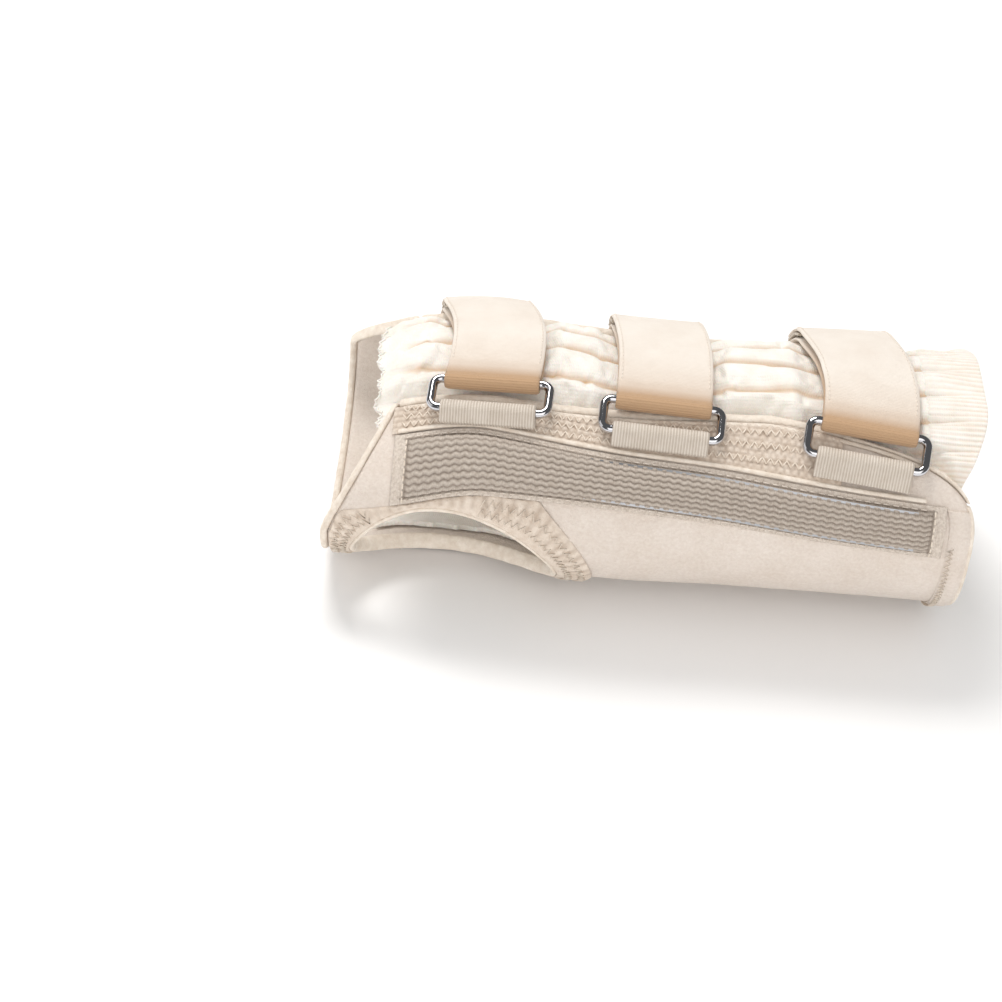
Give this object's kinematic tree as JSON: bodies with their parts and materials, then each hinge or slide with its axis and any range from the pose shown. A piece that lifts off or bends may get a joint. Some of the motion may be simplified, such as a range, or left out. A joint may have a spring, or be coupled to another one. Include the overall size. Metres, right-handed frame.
{
  "type": "wrist splint",
  "caption": "Right-hand wrist splint in felt over a knit liner, open along the back, with a thumb hole, stays, and straps that pass through wire rings and fold back on hook tape.",
  "frame": {"origin": "on the flat palmar face of the palmar stay pocket, under the wrist crease, midway across the palm", "axes": "+X up the forearm to the elbow, +Z out of the back of the hand, -Y to the thumb side"},
  "size_m": [0.1734, 0.0907, 0.0663],
  "materials": {
    "felt": "brushed felt laminate",
    "edge_tape": "rolled and stitched tape",
    "liner_knit": "soft stockinette, ribbed at the cuff",
    "pocket_weave": "wavy woven webbing",
    "tab_webbing": "ribbed grosgrain",
    "strap_webbing": "brushed loop tape",
    "hook_tape": "moulded hook tape",
    "ring_chrome": "polished wire",
    "stay_metal": "plain strip"
  },
  "bodies": {
    "splint": {"distal_ring_tab": "tab_webbing", "distal_strap_base": "strap_webbing", "elbow_edge_facing": "edge_tape", "felt_body": "felt", "hand_edge_binding": "edge_tape", "liner_cuff": "liner_knit", "liner_sleeve": "liner_knit", "middle_ring_tab": "tab_webbing", "middle_strap_base": "strap_webbing", "palmar_stay_pocket": "felt", "proximal_ring_tab": "tab_webbing", "proximal_strap_base": "strap_webbing", "radial_edge_binding": "edge_tape", "radial_edge_facing": "edge_tape", "radial_stay": "stay_metal", "radial_stay_pocket": "pocket_weave", "thumb_hole_facing": "edge_tape", "ulnar_edge_binding": "edge_tape"},
    "palmar_stay": {"palmar_stay": "stay_metal"},
    "distal_ring": {"distal_ring": "ring_chrome"},
    "distal_strap_end": {"distal_strap_end": "strap_webbing", "distal_hook_patch": "hook_tape"},
    "middle_ring": {"middle_ring": "ring_chrome"},
    "middle_strap_end": {"middle_strap_end": "strap_webbing", "middle_hook_patch": "hook_tape"},
    "proximal_ring": {"proximal_ring": "ring_chrome"},
    "proximal_strap_end": {"proximal_strap_end": "strap_webbing", "proximal_hook_patch": "hook_tape"}
  },
  "joints": [
    {"name": "palmar_stay_slide", "type": "slide", "parent": "splint", "child": "palmar_stay", "axis": [1, 0, 0], "range_m": [0, 0.16]},
    {"name": "distal_ring_swing", "type": "hinge", "parent": "splint", "child": "distal_ring", "pos_m": [-0.02197, -0.02346, 0.0567], "axis": [0.9922, -0.0924, 0.0834], "range_deg": [0, 40]},
    {"name": "distal_strap_peel", "type": "hinge", "parent": "distal_ring", "child": "distal_strap_end", "pos_m": [-0.02143, -0.01482, 0.05983], "axis": [0.9922, -0.0924, 0.0834], "range_deg": [0, 130]},
    {"name": "middle_ring_swing", "type": "hinge", "parent": "splint", "child": "middle_ring", "pos_m": [0.02275, -0.02768, 0.05664], "axis": [0.9987, -0.0513, -0.0069], "range_deg": [0, 40]},
    {"name": "middle_strap_peel", "type": "hinge", "parent": "middle_ring", "child": "middle_strap_end", "pos_m": [0.02321, -0.01922, 0.06024], "axis": [0.9987, -0.0513, -0.0069], "range_deg": [0, 130]},
    {"name": "proximal_ring_swing", "type": "hinge", "parent": "splint", "child": "proximal_ring", "pos_m": [0.07519, -0.03157, 0.0562], "axis": [0.9929, -0.1114, -0.0417], "range_deg": [0, 40]},
    {"name": "proximal_strap_peel", "type": "hinge", "parent": "proximal_ring", "child": "proximal_strap_end", "pos_m": [0.07626, -0.02393, 0.06121], "axis": [0.9929, -0.1114, -0.0417], "range_deg": [0, 130]}
  ]
}
